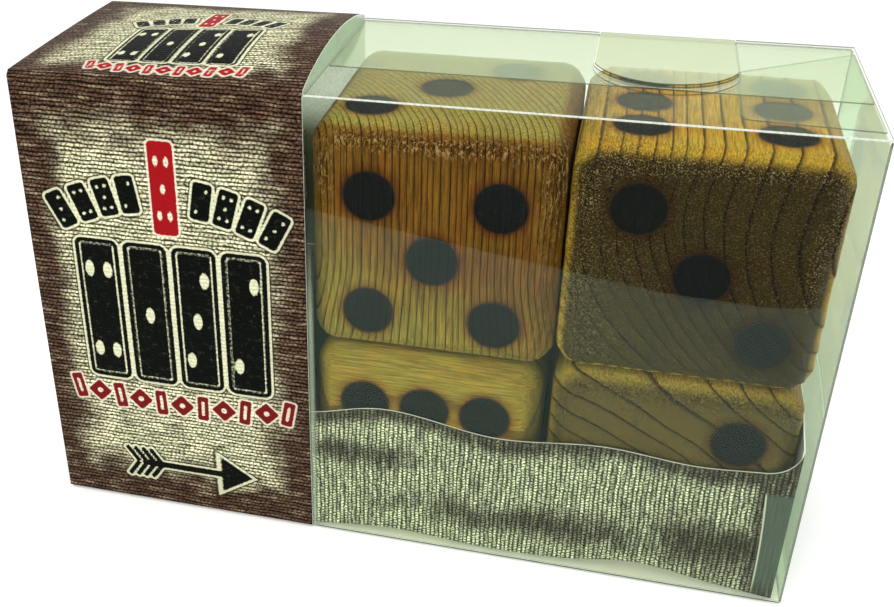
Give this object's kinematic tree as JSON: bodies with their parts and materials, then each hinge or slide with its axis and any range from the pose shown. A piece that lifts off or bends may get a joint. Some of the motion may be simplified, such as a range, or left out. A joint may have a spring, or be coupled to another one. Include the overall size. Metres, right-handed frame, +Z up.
{
  "type": "giant yard dice",
  "caption": "Large solid wood yard dice packed in a clear folded box with a card tray, a slide-off card sleeve and a folded burlap bag.",
  "frame": {"origin": "centre of the pack's bounding box at its base", "axes": "+X along the pack from the card sleeve to the open window end, +Y from the front panel to the back panel, +Z up"},
  "size_m": [0.2964, 0.095, 0.1963],
  "materials": {
    "die_wood": "scorched and oiled softwood, raised grain, burnt black pips",
    "clear_film": "clear folded plastic sheet with a faint green tint",
    "printed_card": "semi-gloss card printed with a burlap weave",
    "tray_card": "semi-gloss card printed with a burlap weave",
    "burlap": "coarse jute weave"
  },
  "bodies": {
    "box": {"clear_box_body": "clear_film", "tray_insert": "tray_card"},
    "lid": {"clear_lid": "clear_film"},
    "inner_flap": {"inner_flap": "clear_film"},
    "dust_flap": {"end_dust_flap": "clear_film"},
    "tongue": {"lock_tongue": "clear_film"},
    "sleeve": {"card_sleeve": "printed_card"},
    "bag": {"burlap_bag": "burlap"},
    "upper_left_die": {"die_upper_left": "die_wood"},
    "upper_right_die": {"die_upper_right": "die_wood"},
    "lower_left_die": {"die_lower_left": "die_wood"},
    "lower_right_die": {"die_lower_right": "die_wood"},
    "sleeve_die": {"die_under_sleeve": "die_wood"}
  },
  "joints": [
    {"name": "upper_left_die_lift", "type": "slide", "parent": "box", "child": "upper_left_die", "axis": [0, 0, 1], "range_m": [0, 0.035]},
    {"name": "upper_right_die_lift", "type": "slide", "parent": "box", "child": "upper_right_die", "axis": [0, 0, 1], "range_m": [0, 0.035]},
    {"name": "lower_left_die_lift", "type": "slide", "parent": "box", "child": "lower_left_die", "axis": [0, 0, 1], "range_m": [0, 0.0175]},
    {"name": "lower_right_die_lift", "type": "slide", "parent": "box", "child": "lower_right_die", "axis": [0, 0, 1], "range_m": [0, 0.0175]},
    {"name": "lid_hinge", "type": "hinge", "parent": "box", "child": "lid", "pos_m": [0.0558, -0.0467, 0.19], "axis": [1, 0, 0], "range_deg": [0, 255]},
    {"name": "inner_flap_hinge", "type": "hinge", "parent": "box", "child": "inner_flap", "pos_m": [0.0554, 0.0467, 0.1892], "axis": [-1, 0, 0], "range_deg": [0, 127.5]},
    {"name": "dust_flap_hinge", "type": "hinge", "parent": "box", "child": "dust_flap", "pos_m": [0.1482, 0, 0.1884], "axis": [0, 1, 0], "range_deg": [0, 94.35]},
    {"name": "tongue_hinge", "type": "hinge", "parent": "inner_flap", "child": "tongue", "pos_m": [0.0815, 0.0467, 0.19], "axis": [-1, 0, 0], "range_deg": [0, 60]},
    {"name": "sleeve_die_slide", "type": "slide", "parent": "box", "child": "sleeve_die", "axis": [-1, 0, 0], "range_m": [0, 0.103]},
    {"name": "sleeve_slide", "type": "slide", "parent": "box", "child": "sleeve", "axis": [-1, 0, 0], "range_m": [0, 0.22]},
    {"name": "bag_slide", "type": "slide", "parent": "box", "child": "bag", "axis": [-1, 0, 0], "range_m": [0, 0.103]}
  ],
  "couplings": [
    {"joint": "upper_right_die_lift", "follows": "upper_left_die_lift", "ratio": 1},
    {"joint": "lower_left_die_lift", "follows": "upper_left_die_lift", "ratio": 0.5},
    {"joint": "lower_right_die_lift", "follows": "upper_left_die_lift", "ratio": 0.5},
    {"joint": "lid_hinge", "follows": "upper_left_die_lift", "rad_per_m": 127.16},
    {"joint": "inner_flap_hinge", "follows": "upper_left_die_lift", "rad_per_m": 63.579},
    {"joint": "dust_flap_hinge", "follows": "upper_left_die_lift", "rad_per_m": 47.049},
    {"joint": "sleeve_slide", "follows": "sleeve_die_slide", "ratio": 2.135},
    {"joint": "bag_slide", "follows": "sleeve_die_slide", "ratio": 1}
  ]
}
